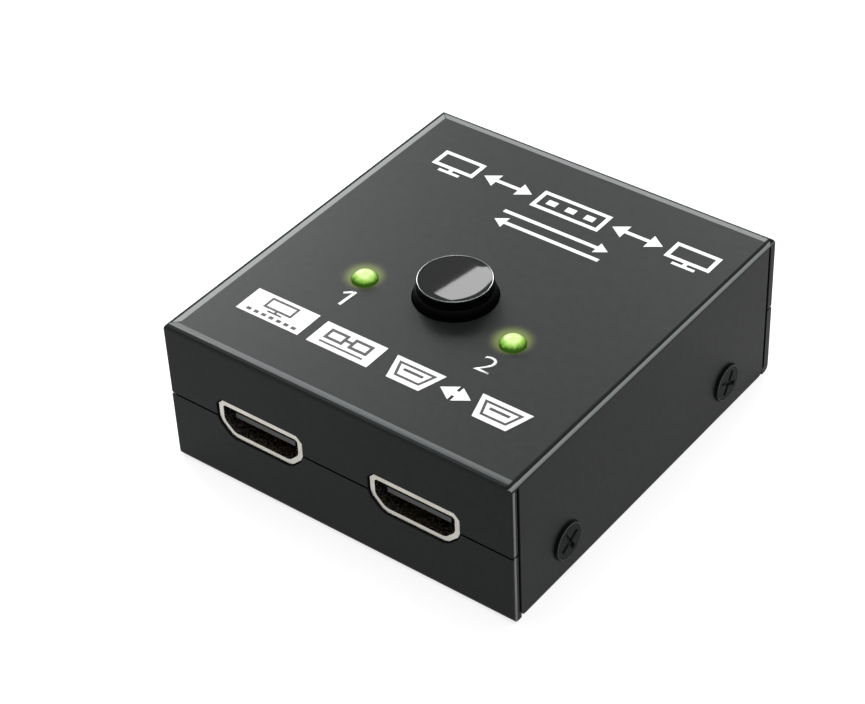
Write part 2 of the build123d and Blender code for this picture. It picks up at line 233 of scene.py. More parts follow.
@dataclass(frozen=True)
class Finish:
    """What every finish has: a material name, a colour, a roughness, and grain and relief in millimetres."""

    name: str
    colour: str
    roughness: float
    metallic: float = 0.0
    ior: float = 1.5
    grain: float = 0.25
    relief: float = 0.004
    colour_spread: float = 0.06
    roughness_spread: float = 0.05
    coat: float = 0.0
    specular: float = 0.5
    glow_colour: str = "#ffffff"
    glow_strength: float = 0.0

    def colour_texture(self, tree: Tree, place: Socket) -> Node:
        """Vary the colour a little, as pigment and handling do.

        Args:
            tree: the material's tree.
            place: Object coordinates.

        Returns:
            The node that gives the colour.
        """
        scale = 1 / (4 * self.grain * MM)
        blotch = add_node(tree, "TexNoise", {"Scale": scale, "Detail": 3.0}, {"Vector": place})
        ramp = add_node(tree, "ValToRGB", links={"Fac": blotch})
        base = linear(self.colour)
        low = tuple(c * (1 - self.colour_spread) for c in base[:3]) + (1.0,)
        high = tuple(min(1.0, c * (1 + self.colour_spread)) for c in base[:3]) + (1.0,)
        return with_stops(ramp, [(0.35, low), (0.65, high)])

    def surface_texture(self, tree: Tree, place: Socket) -> dict[str, Node]:
        """Grain: a fine bump, and roughness that follows it.

        Args:
            tree: the material's tree.
            place: Object coordinates.

        Returns:
            Nodes for the shader's Normal and Roughness.
        """
        grain = add_node(
            tree, "TexNoise", {"Scale": 1 / (self.grain * MM), "Detail": 4.0, "Roughness": 0.6},
            {"Vector": place},
        )
        bump = add_node(tree, "Bump", {"Distance": self.relief * MM, "Strength": 1.0}, {"Height": grain})
        rough = add_node(tree, "MapRange", {
            "From Min": 0.3, "From Max": 0.7, "To Min": max(0.02, self.roughness - self.roughness_spread),
            "To Max": self.roughness + self.roughness_spread,
        }, {"Value": grain})
        return {"Normal": bump, "Roughness": rough}

    def glow_texture(self, tree: Tree, place: Socket) -> dict[str, Node]:
        """Nodes for the shader's own light, where it varies; most finishes have none."""
        return {}

    @cache
    def build(self) -> Material:
        """Make the material, once for each finish.

        Returns:
            The finished material.
        """
        material = bpy.data.materials.new(self.name)
        material.use_nodes = True
        tree = material.node_tree
        tree.nodes.clear()
        place = add_node(tree, "TexCoord").outputs["Object"]
        shader = add_node(tree, "BsdfPrincipled", {
            "Metallic": self.metallic, "IOR": self.ior, "Roughness": self.roughness,
            "Coat Weight": self.coat, "Specular IOR Level": self.specular,
            "Emission Color": linear(self.glow_colour), "Emission Strength": self.glow_strength,
        }, {
            "Base Color": self.colour_texture(tree, place), **self.surface_texture(tree, place),
            **self.glow_texture(tree, place),
        })
        add_node(tree, "OutputMaterial", links={"Surface": shader})
        return material


@dataclass(frozen=True)
class PowderCoat(Finish):
    """Charcoal powder coat, baked on folded steel: an even satin skin with a fine orange peel.

    Painted highlights lie on the folds and on the front flap's sheared ends, with painted shade on the folds
    beside them, and the lamps' glow is painted on it.
    """

    half_width: float = 0.0
    half_depth: float = 0.0
    plate_height: float = 0.0
    bend: float = 1.0
    # Painted highlights on the folds, each side in its own tone as the light falls on it; the front fold
    # grades down into painted shade
    folds: tuple[FoldLine, ...] = (
        FoldLine("Y", -1, (0.45, 1.45), "#5d6060"),
        FoldLine("Y", -1, (-0.15, 0.35), "#3a3c3c"),
        FoldLine("Y", -1, (-0.95, -0.25), "#282a2a"),
        FoldLine("Y", 1, (0.95, 1.85), "#7b7e7e", dull=(-1.0, 0.85)),
        FoldLine("X", -1, (1.0, 1.9), "#868989", dull=(-1.0, 0.9)),
        FoldLine("X", 1, (-0.66, 0.12), "#a2a6a6", dull=(0.26, 0.8), runs_through=True),
    )
    feather: float = 0.05
    mitre: Spot = (0.05, 0.13)
    # The colour of the painted shade on the folds' dull bands
    painted_shade_colour: str = "#2a2c2c"
    # A strip of painted highlight on the front flap's sheared ends
    end_highlight_colour: str = "#b2b4b4"
    end_highlight_strip: Spot = (0.3, 0.74)
    end_skin: Spot = (0.09, 0.05)
    # The lamps' glow, painted on the plate round them as the paint's own light
    lamp_spots: tuple[Spot, ...] = ()
    lamp_radius: float = 2.0
    lamp_core: float = 0.7
    lamp_reach: float = 2.4
    lamp_shift: Spot = (-0.5, 0.5)
    lamp_falloff: float = 1.7
    painted_lamp_glow: float = 0.5
    # The colour of the painted lamp glow
    glow_colour: str = "#a2b55c"

    def between(self, length: Node, band: Spot) -> list[Limit]:
        """Two limits that hold a length between a band's two places."""
        (low, high), soft = band, self.feather
        return [(length, low - soft, low + soft), (length, high + soft, high - soft)]

    def painted_light_bands(self, tree: Tree, place: Socket) -> list[tuple[Node, str]]:
        """Find the bands of painted highlight on the folds and on the front flap's sheared ends, and the
        painted shade on the folds.

        Args:
            tree: the material's tree.
            place: Object coordinates.

        Returns:
            Masks with their colours, in the order they are laid; the last is the painted shade's.
        """
        axes = add_node(tree, "SeparateXYZ", links={0: place}).outputs
        upward = add_node(tree, "Math", {"operation": "SUBTRACT", 1: self.plate_height * MM}, {0: axes["Z"]})
        halves = {"X": self.half_width, "Y": self.half_depth}
        inward = {}
        for axis, sign in (("X", -1), ("X", 1), ("Y", -1), ("Y", 1)):
            from_edge = {"operation": "MULTIPLY_ADD", 1: -sign, 2: halves[axis] * MM}
            inward[axis, sign] = add_node(tree, "Math", from_edge, {0: axes[axis]})
        through = [(fold.axis, fold.sign) for fold in self.folds if fold.runs_through]
        lines, painted_shade = [], None
        # Each fold's painted band, and its dull band of painted shade
        for fold in self.folds:
            own = inward[fold.axis, fold.sign]
            across = add_node(tree, "Math", {"operation": "ADD"}, {0: own, 1: upward})
            limits = [(upward, -self.bend - 2 * self.feather, -self.bend)]
            for (axis, sign), other in inward.items():
                if axis != fold.axis:
                    limits.append((other, self.feather, 3 * self.feather))
                    if not fold.runs_through and (axis, sign) not in through:
                        spare = add_node(tree, "Math", {"operation": "SUBTRACT"}, {0: other, 1: own})
                        limits.append((spare, *self.mitre))
            lines.append((masked(tree, [*limits, *self.between(across, fold.pale)]), fold.colour))
            if fold.dull:
                dull = masked(tree, [*limits, *self.between(across, fold.dull)])
                both = {0: painted_shade, 1: dull}
                painted_shade = add_node(tree, "Math", {"operation": "MAXIMUM"}, both) if painted_shade else dull
        # A strip of painted highlight on each sheared end of the front flap
        for sign in (-1, 1):
            lines.append((masked(tree, [
                (inward["X", sign], *self.end_skin), *self.between(inward["Y", -1], self.end_highlight_strip),
                (upward, -self.bend, -self.bend - 2 * self.feather),
            ]), self.end_highlight_colour))
        return [*lines, (painted_shade, self.painted_shade_colour)]

    def colour_texture(self, tree: Tree, place: Socket) -> Node:
        """Charcoal, with the painted highlights and painted shade laid over it.

        Args:
            tree: the material's tree.
            place: Object coordinates.

        Returns:
            The node that gives the colour.
        """
        colour = super().colour_texture(tree, place)
        for mask, shade in self.painted_light_bands(tree, place):
            colour = add_node(tree, "Mix", {"data_type": "RGBA", 7: linear(shade)}, {0: mask, 6: colour})
        return colour

    def surface_texture(self, tree: Tree, place: Socket) -> dict[str, Node]:
        """Orange peel, with no shine where the shade is painted.

        Args:
            tree: the material's tree.
            place: Object coordinates.

        Returns:
            Nodes for the shader's Normal, Roughness and Specular IOR Level.
        """
        painted_shade = self.painted_light_bands(tree, place)[-1][0]
        shine = add_node(tree, "MapRange", {"To Min": self.specular, "To Max": 0.0}, {"Value": painted_shade})
        return {**super().surface_texture(tree, place), "Specular IOR Level": shine}

    def glow_texture(self, tree: Tree, place: Socket) -> dict[str, Node]:
        """Paint the lamps' light onto the plate round them, as the paint's own glow.

        Args:
            tree: the material's tree.
            place: Object coordinates.

        Returns:
            The node for the shader's Emission Strength.
        """
        total = None
        for x, y in self.lamp_spots:
            centre = ((x + self.lamp_shift[0]) * MM, (y + self.lamp_shift[1]) * MM, self.plate_height * MM)
            away = add_node(tree, "VectorMath", {"operation": "DISTANCE", 1: centre}, {0: place})
            fade = add_node(tree, "MapRange", {
                "interpolation_type": "SMOOTHERSTEP", "From Min": self.lamp_radius * self.lamp_core * MM,
                "From Max": (self.lamp_radius + self.lamp_reach) * MM, "To Min": 1.0, "To Max": 0.0,
            }, {"Value": away})
            total = add_node(tree, "Math", {"operation": "ADD"}, {0: total, 1: fade}) if total else fade
        steep = add_node(tree, "Math", {"operation": "POWER", 1: self.lamp_falloff}, {0: total})
        strength = add_node(tree, "Math", {"operation": "MULTIPLY", 1: self.painted_lamp_glow}, {0: steep})
        return {"Emission Strength": strength}


@dataclass(frozen=True)
class LitLens(Finish):
    """Green tinted epoxy, cast in a domed mould over a lit diode: a pale bright heart, a deep green rim."""

    centre: Triple = (0.0, 0.0, 0.0)
    heart: str = "#e6ffa8"
    middle: str = "#94ca50"
    rim: str = "#2a4c08"
    reach: float = 2.9
    mottle_mm: float = 0.8
    mottle_depth: float = 0.12
    glow_strength: float = 1.0

    def glow_texture(self, tree: Tree, place: Socket) -> dict[str, Node]:
        """Light the lens from its heart.

        Args:
            tree: the material's tree.
            place: Object coordinates.

        Returns:
            The node for the shader's Emission Color.
        """
        centre = tuple(c * MM for c in self.centre)
        away = add_node(tree, "VectorMath", {"operation": "DISTANCE", 1: centre}, {0: place})
        share = add_node(tree, "Math", {"operation": "DIVIDE", 1: self.reach * MM}, {0: away})
        scale, depth = 1 / (self.mottle_mm * MM), self.mottle_depth
        mottle = add_node(tree, "TexNoise", {"Scale": scale, "Detail": 2.0}, {"Vector": place})
        shift = add_node(tree, "MapRange", {"To Min": -depth, "To Max": depth}, {"Value": mottle})
        mixed = add_node(tree, "Math", {"operation": "ADD"}, {0: share, 1: shift})
        ramp = add_node(tree, "ValToRGB", links={"Fac": mixed})
        heart, middle, rim = linear(self.heart), linear(self.middle), linear(self.rim)
        return {"Emission Color": with_stops(ramp, [(0.38, heart), (0.54, middle), (0.7, rim)])}


@dataclass(frozen=True)
class ScrewBlack(Finish):
    """Black oxide on turned steel, blued in hot salts: dull black, with a painted highlight round the head's
    rim and painted shade on its wall.
    """

    seat: Spot = (0.0, 0.0)
    rim_radius: float = 2.88
    # A pale ring of painted highlight on the head's rim, and painted shade on its wall
    highlight_rim_colour: str = "#6c6f6f"
    shaded_wall_colour: str = "#060606"

    def colour_texture(self, tree: Tree, place: Socket) -> Node:
        """The head's dull face, a painted highlight on its rim and painted shade on its wall, by the
        distance from the screw's axis.

        Args:
            tree: the material's tree.
            place: Object coordinates.

        Returns:
            The node that gives the colour.
        """
        # Both halves of the box are folded onto one, so that one point stands for every screw
        folded = add_node(tree, "VectorMath", {"operation": "ABSOLUTE"}, {0: place})
        flat = add_node(tree, "VectorMath", {"operation": "MULTIPLY", 1: (0.0, 1.0, 1.0)}, {0: folded})
        centre = (0.0, self.seat[0] * MM, self.seat[1] * MM)
        away = add_node(tree, "VectorMath", {"operation": "DISTANCE", 1: centre}, {0: flat})
        share = add_node(tree, "Math", {"operation": "DIVIDE", 1: 2 * self.rim_radius * MM}, {0: away})
        ramp = add_node(tree, "ValToRGB", links={"Fac": share})
        face, rim, wall = linear(self.colour), linear(self.highlight_rim_colour), linear(self.shaded_wall_colour)
        # The pale rim is a painted highlight and the black wall is painted shade
        return with_stops(ramp, [(0.485, face), (0.493, rim), (0.505, rim), (0.515, wall)])


@dataclass(frozen=True)
class SolderMask(Finish):
    """Green solder mask, screened and cured over etched copper: glossy, with the tracks faintly paler."""

    track_mm: float = 1.0
    second_colour: str = "#0b4f27"
    track_colour: str = "#3f8a4e"

    def colour_texture(self, tree: Tree, place: Socket) -> Node:
        """Two greens, with the tracks between them.

        Args:
            tree: the material's tree.
            place: Object coordinates.

        Returns:
            The node that gives the colour.
        """
        return add_node(tree, "TexBrick", {
            "Scale": 1 / (4 * self.track_mm * MM), "Mortar Size": 0.02, "Color1": linear(self.colour),
            "Color2": linear(self.second_colour), "Mortar": linear(self.track_colour),
        }, {"Vector": place})


# Modelling helpers

SAME_POINT_MM = 0.001
FLAT_DEGREES = 0.5
ROUND_DEGREES = 60.0
ROUND_STEPS = 2


def put_down() -> None:
    """Leave edit mode and deselect everything."""
    if bpy.context.object is not None and bpy.context.object.mode != "OBJECT":
        bpy.ops.object.mode_set(mode="OBJECT")
    bpy.ops.object.select_all(action="DESELECT")


def pick(piece: Piece) -> None:
    """Select one piece alone and make it the active one.

    Args:
        piece: the piece.
    """
    put_down()
    piece.select_set(True)
    bpy.context.view_layer.objects.active = piece


def open_mesh(piece: Piece, mode: str = "VERT") -> None:
    """Go into a piece's edit mode, with its whole mesh selected.

    Args:
        piece: the piece.
        mode: "VERT", "EDGE" or "FACE", what is selected by.
    """
    pick(piece)
    bpy.ops.object.mode_set(mode="EDIT")
    bpy.ops.mesh.select_mode(type=mode)
    bpy.ops.mesh.select_all(action="SELECT")


def close_mesh() -> None:
    """Turn every face outwards and leave edit mode."""
    bpy.ops.mesh.select_all(action="SELECT")
    bpy.ops.mesh.normals_make_consistent(inside=False)
    bpy.ops.object.mode_set(mode="OBJECT")


def apply_place() -> None:
    """Put the active piece's place, turn and size into its mesh."""
    bpy.ops.object.transform_apply(location=True, rotation=True, scale=True)


def apply_all(piece: Piece) -> None:
    """Apply every modifier of a piece, in order.

    Args:
        piece: the piece.
    """
    pick(piece)
    for modifier in list(piece.modifiers):
        bpy.ops.object.modifier_apply(modifier=modifier.name)


def soften(piece: Piece, width_mm: float, angle: float = 40.0) -> None:
    """Round a piece's sharp edges and shade its curves smooth.

    Args:
        piece: the piece to work on.
        width_mm: the rounding's width, or 0 for none.
        angle: edges flatter than this, in degrees, stay as they are.
    """
    pick(piece)
    bpy.ops.object.shade_smooth_by_angle(angle=math.radians(angle if width_mm == 0 else ROUND_DEGREES))
    if width_mm > 0:
        bevel = piece.modifiers.new("rounded_edges", "BEVEL")
        bevel.width = width_mm * MM
        bevel.segments = ROUND_STEPS
        bevel.limit_method = "ANGLE"
        bevel.angle_limit = math.radians(angle)
        bevel.use_clamp_overlap = True
    even = piece.modifiers.new("even_shading", "WEIGHTED_NORMAL")
    even.keep_sharp = True
    apply_all(piece)


def turned(name: str, profile: Sequence[Spot], centre: Spot, segments: int, angle: float = 40.0) -> Piece:
    """Model a turned form from a ring that is drawn up step by step.

    Args:
        name: the piece's name.
        profile: radius and height of each ring, in millimetres. A radius of 0 at an end closes it.
        centre: where the axis stands.
        segments: sides of each ring.
        angle: edges flatter than this, in degrees, are shaded smooth.

    Returns:
        The new piece.
    """
    rings = [step for step in profile if step[0] > 0]
    x, y = centre[0] * MM, centre[1] * MM
    put_down()
    bpy.ops.mesh.primitive_circle_add(
        vertices=segments, radius=rings[0][0] * MM, location=(x, y, rings[0][1] * MM),
        fill_type="NGON" if profile[0][0] == 0 else "NOTHING",
    )
    piece = bpy.context.object
    piece.name = name
    apply_place()
    open_mesh(piece, "EDGE")
    if profile[0][0] == 0:
        # The first cap stays behind while its rim is drawn up
        bpy.ops.mesh.region_to_loop()
    for (radius, height), (next_radius, next_height) in zip(rings, rings[1:]):
        rise, scale = (next_height - height) * MM, next_radius / radius
        bpy.ops.mesh.extrude_edges_move(TRANSFORM_OT_translate={"value": (0, 0, rise)})
        bpy.ops.transform.resize(value=(scale, scale, 1), center_override=(x, y, next_height * MM))
    if profile[-1][0] == 0:
        bpy.ops.mesh.edge_face_add()
    bpy.ops.mesh.select_all(action="SELECT")
    bpy.ops.mesh.remove_doubles(threshold=SAME_POINT_MM * MM)
    close_mesh()
    soften(piece, 0.0, angle)
    return piece


def arc(centre: Spot, radius: Spot, start: float, end: float, steps: int) -> list[Spot]:
    """Points along a part of an ellipse in a turned form's profile.

    Args:
        centre: the ellipse's centre, as radius and height.
        radius: its half-axes.
        start: first angle in degrees, 0 outwards and 90 up.
        end: last angle.
        steps: how many stretches.

    Returns:
        The points, both ends included.
    """
    angles = [math.radians(start + (end - start) * step / steps) for step in range(steps + 1)]
    return [(centre[0] + radius[0] * math.cos(a), centre[1] + radius[1] * math.sin(a)) for a in angles]


def hand_over(piece: Piece, body: Body, finish: Finish, slot: Slot, *nodes: str) -> None:
    """Give a finished piece its material and its place on a body, and report it.

    Args:
        piece: the piece.
        body: the body it moves with.
        finish: its material.
        slot: not used.
        nodes: CAD nodes that it stands for.
    """
    piece.data.materials.clear()
    piece.data.materials.append(finish.build())
    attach(piece, body.value)
    if nodes:
        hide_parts(*nodes)
    LOG.info("%s: %d faces on %s", piece.name, len(piece.data.polygons), body.value)


def dress_copy(node: str, name: str, edge_mm: float, finish: Finish, slot: Slot) -> None:
    """Let a copy of a housing node stand in for it, joined up, with its edges rounded.

    Args:
        node: the CAD node's name.
        name: the new piece's name.
        edge_mm: the rounding's width.
        finish: its material.
        slot: the material slot's name, handed on.
    """
    piece = bpy.data.objects.new(name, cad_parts[node].data.copy())
    bpy.context.scene.collection.objects.link(piece)
    pick(piece)
    bpy.ops.mesh.customdata_custom_splitnormals_clear()
    open_mesh(piece)
    bpy.ops.mesh.remove_doubles(threshold=2 * SAME_POINT_MM * MM)
    bpy.ops.mesh.dissolve_limited(angle_limit=math.radians(FLAT_DEGREES))
    bpy.ops.object.mode_set(mode="OBJECT")
    soften(piece, edge_mm)
    hand_over(piece, Body.HOUSING, finish, slot, node)


def dress_node(node: str, finish: Finish) -> None:
    """Give a CAD node that stays its material, and report it.

    Args:
        node: the CAD node's name.
        finish: its material.
    """
    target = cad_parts[node]
    target.data.materials.clear()
    target.data.materials.append(finish.build())
    LOG.info("%s: CAD node in %s", node, finish.name)


# The object's sub-assemblies


@dataclass
class Housing:
    """The folded cover and tray, and the four screws that join them."""

    cover: Extent
    screws: Extent
    lamps: Sequence[Extent]
    cut_edge: float = 0.1
    screw_edge: float = 0.07
    head_radius: float = 3.2

    def build(self) -> None:
        """Model and dress the cover, the tray and the screws."""
        coat = PowderCoat(
            name="powder_coated_steel", colour="#1f2121", roughness=0.4, specular=0.075, grain=0.35,
            relief=0.006, colour_spread=0.10, roughness_spread=0.04, half_width=self.cover.high[0],
            half_depth=self.cover.high[1], plate_height=self.cover.high[2],
            lamp_spots=tuple(lamp.middle() for lamp in self.lamps), lamp_radius=self.lamps[0].radius(),
        )
        dress_copy("top_cover", "folded_cover", self.cut_edge, coat, Slot.PAINTED_STEEL)
        dress_copy("bottom_tray", "folded_tray", self.cut_edge, coat, Slot.PAINTED_STEEL)
        seat = (self.screws.high[1] - self.head_radius, (self.screws.low[2] + self.screws.high[2]) / 2)
        blued = ScrewBlack(
            "black_oxide_steel", "#242626", 0.45, specular=0.03, grain=0.2, relief=0.003, seat=seat
        )
        dress_copy("side_screws", "low_head_screws", self.screw_edge, blued, Slot.BLACK_SCREW)


@dataclass
class PushButton:
    """The round push button: flared cap, bright ring and smoked disc."""

    cap: Extent
    ring: Extent
    disc: Extent
    plate_height: float
    ring_outer: float = 5.62
    ring_inner: float = 5.47
    face_radius: float = 4.35
    face_drop: float = 0.012
    lip_drop: float = 0.12
    wall: float = 1.0
    bulge_foot: float = 0.2
    bulge_height: float = 1.35
    bulge_inset: float = 0.05
    bulge_top: float = 84.0
    lip_round: Spot = (0.04, 0.05)
    closing_gap: float = 0.0001

    def build_cap(self) -> Piece:
        """Turn the cap, hollow from below: an upright side that bulges out over its foot.

        Returns:
            The cap.
        """
        top, ledge, seat, foot = self.ring.high[2], self.ring.low[2], self.disc.low[2], self.cap.low[2]
        rim, skirt, inner = self.ring.radius(), self.cap.radius(), self.ring.radius() - self.wall
        reach = skirt - self.bulge_inset - rim
        bulge_foot, lip = self.plate_height + self.bulge_foot, top - self.lip_drop
        bulge = arc((rim, bulge_foot), (reach, self.bulge_height), 0, self.bulge_top, 10)
        profile = [
            (0.0, seat - self.wall), (inner, seat - self.wall), (inner, foot), (skirt, foot), *bulge,
            (rim, lip - self.lip_round[1]), (rim - self.lip_round[0], lip), (self.ring_outer, lip),
            (self.ring_outer, ledge), (self.ring_inner, ledge), (self.ring_inner, seat), (0.0, seat),
        ]
        return turned("button_cap_body", profile, self.cap.middle(), 96, 35.0)

    def build_ring(self) -> Piece:
        """Turn the bright ring, with a round crown.

        Returns:
            The ring.
        """
        foot, half = self.ring.low[2], (self.ring_outer - self.ring_inner) / 2
        crown = arc((self.ring_inner + half, self.ring.high[2] - half), (half, half), 0, 180, 8)
        closing = (self.ring_inner, foot + self.closing_gap)
        profile = [(self.ring_inner, foot), (self.ring_outer, foot), *crown, closing]
        return turned("button_bright_ring", profile, self.ring.middle(), 96, 50.0)

    def build_disc(self) -> Piece:
        """Turn the disc: a flat face that falls away a little to the ring.

        Returns:
            The disc.
        """
        seat, face, edge = self.disc.low[2], self.disc.high[2], self.ring_inner
        profile = [
            (0.0, seat), (edge, seat), (edge, face - self.face_drop), (self.face_radius, face), (0.0, face)
        ]
        return turned("button_smoked_disc", profile, self.disc.middle(), 128, 1.0)

    def build(self) -> None:
        """Model and dress the button."""
        # ABS, moulded in a spark-eroded tool: deep black and dull
        moulded = Finish(
            "black_moulded_abs", "#030304", 0.5, ior=1.53, specular=0.03, grain=0.12, relief=0.002
        )
        # Chrome over nickel, plated on ABS and buffed: a thin grey line with a soft shine
        chrome = Finish(
            "bright_chrome_plate", "#76797a", 0.2, METAL, grain=0.5, relief=0.0004,
            colour_spread=0.02, roughness_spread=0.03,
        )
        # Smoked acrylic, flame polished: a black mirror that shows a softbox's edge
        smoked = Finish(
            "smoked_acrylic", "#0c0e0d", 0.012, specular=0.19, grain=3.0, relief=0.0,
            colour_spread=0.02, roughness_spread=0.005,
        )
        hand_over(self.build_cap(), Body.BUTTON, moulded, Slot.BLACK_MOULDING, "button_cap")
        hand_over(self.build_ring(), Body.BUTTON, chrome, Slot.BRIGHT_CHROME, "button_ring")
        hand_over(self.build_disc(), Body.BUTTON, smoked, Slot.SMOKED_DISC, "button_disc")


@dataclass
class SignalLamps:
    """The two green lamps in the top plate."""

    lamps: Sequence[Extent]
    dome: float = 1.25
    last_angle: float = 88.0
    heart_shift: Spot = (-0.06, 0.06)
    heart_depth: float = 0.35

    def build(self) -> None:
        """Model and dress both lenses."""
        for number, lamp in enumerate(self.lamps, start=1):
            (x, y), radius, base, top = lamp.middle(), lamp.radius(), lamp.low[2], lamp.high[2]
            sphere = (radius ** 2 + self.dome ** 2) / (2 * self.dome)
            edge_angle = math.degrees(math.asin((sphere - self.dome) / sphere))
            dome = arc((0.0, top - sphere), (sphere, sphere), edge_angle, self.last_angle, 12)
            profile = [(0.0, base), (radius, base), *dome, (0.0, top)]
            lens = turned(f"lamp_{number}_lens", profile, (x, y), 48)
            heart = (x + self.heart_shift[0], y + self.heart_shift[1], top - self.heart_depth)
            lit = LitLens(
                name=f"lit_green_epoxy_{number}", colour="#16300a", roughness=0.12, ior=1.54, specular=0.08,
                grain=0.9, relief=0.001, centre=heart,
            )
            hand_over(lens, Body.HOUSING, lit, Slot.GREEN_LENS, f"lamp_{number}")


@dataclass
class TopPrint:
    """White pad print on the plate: two numbers, and signs for screens, sockets and both-way traffic."""

    plate_height: float
    ink: float = 0.02
    lift: float = 0.004
    stroke: float = 0.7
    bold: float = 1.1
    fine: float = 0.42
    mouth_foot: float = 0.66
    foot_height: float = 0.8
    head_length: float = 1.5
    digit_width: float = 1.2
    digit_offset: float = -0.012

    def slanted(self, start: Spot, end: Spot, width: float, layer: int = 0) -> Piece:
        """Lay one straight stroke of ink in any direction.

        Args:
            start: the middle of its first end.
            end: the middle of its last end.
            width: how wide it is.
            layer: 0 on the paint, 1 on the ink below.

        Returns:
            The flat stroke.
        """
        height = self.plate_height + self.lift + layer * (self.ink + self.lift)
        middle = ((start[0] + end[0]) / 2 * MM, (start[1] + end[1]) / 2 * MM, height * MM)
        turn = math.atan2(end[1] - start[1], end[0] - start[0])
        put_down()
        bpy.ops.mesh.primitive_plane_add(size=1, location=middle, rotation=(0, 0, turn))
        mark = bpy.context.object
        mark.scale = (math.dist(start, end) * MM, width * MM, 1)
        apply_place()
        return mark

    def stamp(self, low: Spot, high: Spot, layer: int = 0) -> Piece:
        """Lay one upright rectangle of ink, from its low to its high x and y."""
        middle = (low[1] + high[1]) / 2
        return self.slanted((low[0], middle), (high[0], middle), high[1] - low[1], layer)

    def outline(self, mark: Piece, stroke: float) -> Piece:
        """Leave only the border of a flat mark.

        Args:
            mark: the flat mark, one face.
            stroke: the border's width.

        Returns:
            The same mark.
        """
        open_mesh(mark, "FACE")
        bpy.ops.mesh.inset(thickness=stroke * MM, depth=0)
        bpy.ops.mesh.delete(type="FACE")
        bpy.ops.object.mode_set(mode="OBJECT")
        return mark

    def head(self, tip: Spot, reach: float, half: float) -> Piece:
        """Lay an arrow's head.

        Args:
            tip: where it points to.
            reach: its length along x, negative where it points left.
            half: half its width.

        Returns:
            The flat head.
        """
        back = tip[0] - reach
        mark = self.stamp((min(tip[0], back), tip[1] - half), (max(tip[0], back), tip[1] + half))
        open_mesh(mark)
        bpy.ops.mesh.select_all(action="DESELECT")
        bpy.ops.object.mode_set(mode="OBJECT")
        for vertex in mark.data.vertices:
            vertex.select = abs(vertex.co.x - tip[0] * MM) < SAME_POINT_MM * MM
        bpy.ops.object.mode_set(mode="EDIT")
        bpy.ops.mesh.merge(type="CENTER")
        bpy.ops.object.mode_set(mode="OBJECT")
        return mark

    def arrow(
        self, left: float, right: float, y: float, stroke: float, half: float, heads: Heads
    ) -> list[Piece]:
        """Draw an arrow along x.

        Args:
            left: its left end.
            right: its right end.
            y: its line.
            stroke: the shaft's width.
            half: half a head's width.
            heads: the ends with a head.

        Returns:
            Its parts.
        """
        reach = self.head_length * half
        first = left + (0 if heads is Heads.RIGHT else reach)
        last = right - (0 if heads is Heads.LEFT else reach)
        parts = [self.stamp((first, y - stroke / 2), (last, y + stroke / 2))]
        if heads is not Heads.RIGHT:
            parts.append(self.head((left, y), -reach, half))
        if heads is not Heads.LEFT:
            parts.append(self.head((right, y), reach, half))
        return parts

    def screen(self, low: Spot, high: Spot, stroke: float, layer: int = 0) -> list[Piece]:
        """Draw a screen on its foot.

        Args:
            low: the whole sign's low x and y.
            high: its high x and y.
            stroke: the line's width.
            layer: 0 on the paint, 1 on the ink below.

        Returns:
            Its parts.
        """
        middle, quarter = (low[0] + high[0]) / 2, (high[0] - low[0]) / 4
        foot_high, glass_low = low[1] + self.foot_height * stroke, low[1] + 2 * self.foot_height * stroke
        glass = self.outline(self.stamp((low[0], glass_low), high, layer), stroke)
        neck = self.stamp((middle - stroke / 2, foot_high), (middle + stroke / 2, glass_low), layer)
        foot = self.stamp((middle - quarter, low[1]), (middle + quarter, foot_high), layer)
        return [glass, neck, foot]

    def mouth(self, low: Spot, high: Spot, layer: int = 0) -> Piece:
        """Lay a socket's mouth, narrower at the foot.

        Args:
            low: its low x and y.
            high: its high x and y.
            layer: 0 on the paint, 1 on the ink below.

        Returns:
            The flat mouth.
        """
        mark = self.stamp(low, high, layer)
        middle, halfway = (low[0] + high[0]) / 2, (low[1] + high[1]) / 2
        for vertex in mark.data.vertices:
            if vertex.co.y < halfway * MM:
                vertex.co.x = middle * MM + self.mouth_foot * (vertex.co.x - middle * MM)
        return mark

    def printed(self, name: str, marks: Sequence[Piece], ink: Finish) -> None:
        """Join flat marks into one sign, give it the ink's thickness and report it.

        Args:
            name: the sign's name.
            marks: its parts.
            ink: its finish.
        """
        put_down()
        for mark in marks:
            mark.select_set(True)
        bpy.context.view_layer.objects.active = marks[0]
        if len(marks) > 1:
            bpy.ops.object.join()
        sign = bpy.context.object
        sign.name = name
        open_mesh(sign)
        bpy.ops.mesh.remove_doubles(threshold=SAME_POINT_MM * MM)
        bpy.ops.mesh.extrude_region_move(TRANSFORM_OT_translate={"value": (0, 0, self.ink * MM)})
        close_mesh()
        hand_over(sign, Body.HOUSING, ink, Slot.PAINTED_STEEL)

    def digit_one(self) -> list[Piece]:
        """Draw the 1 with its flag, open at the foot."""
        stem = self.slanted((-12.45, -12.07), (-12.7, -15.7), 0.5)
        return [stem, self.slanted((-12.82, -12.3), (-13.9, -13.2), 0.42)]

    def digit_two(self, centre: Spot, height: float) -> Piece:
        """Set the 2 in a plain typeface.

        Args:
            centre: where its middle stands.
            height: the digit's height.

        Returns:
            The flat digit.
        """
        put_down()
        bpy.ops.object.text_add()
        digit = bpy.context.object
        digit.data.body = "2"
        digit.data.offset = self.digit_offset
        bpy.ops.object.convert(target="MESH")
        digit = bpy.context.object
        points = [vertex.co.copy() for vertex in digit.data.vertices]
        low = Vector((min(p.x for p in points), min(p.y for p in points), 0))
        high = Vector((max(p.x for p in points), max(p.y for p in points), 0))
        scale = height * MM / (high.y - low.y)
        centred = Matrix.Translation((centre[0] * MM, centre[1] * MM, (self.plate_height + self.lift) * MM))
        sized = Matrix.Diagonal((self.digit_width * scale, scale, scale, 1.0))
        digit.data.transform(centred @ sized @ Matrix.Translation(-(low + high) / 2))
        return digit

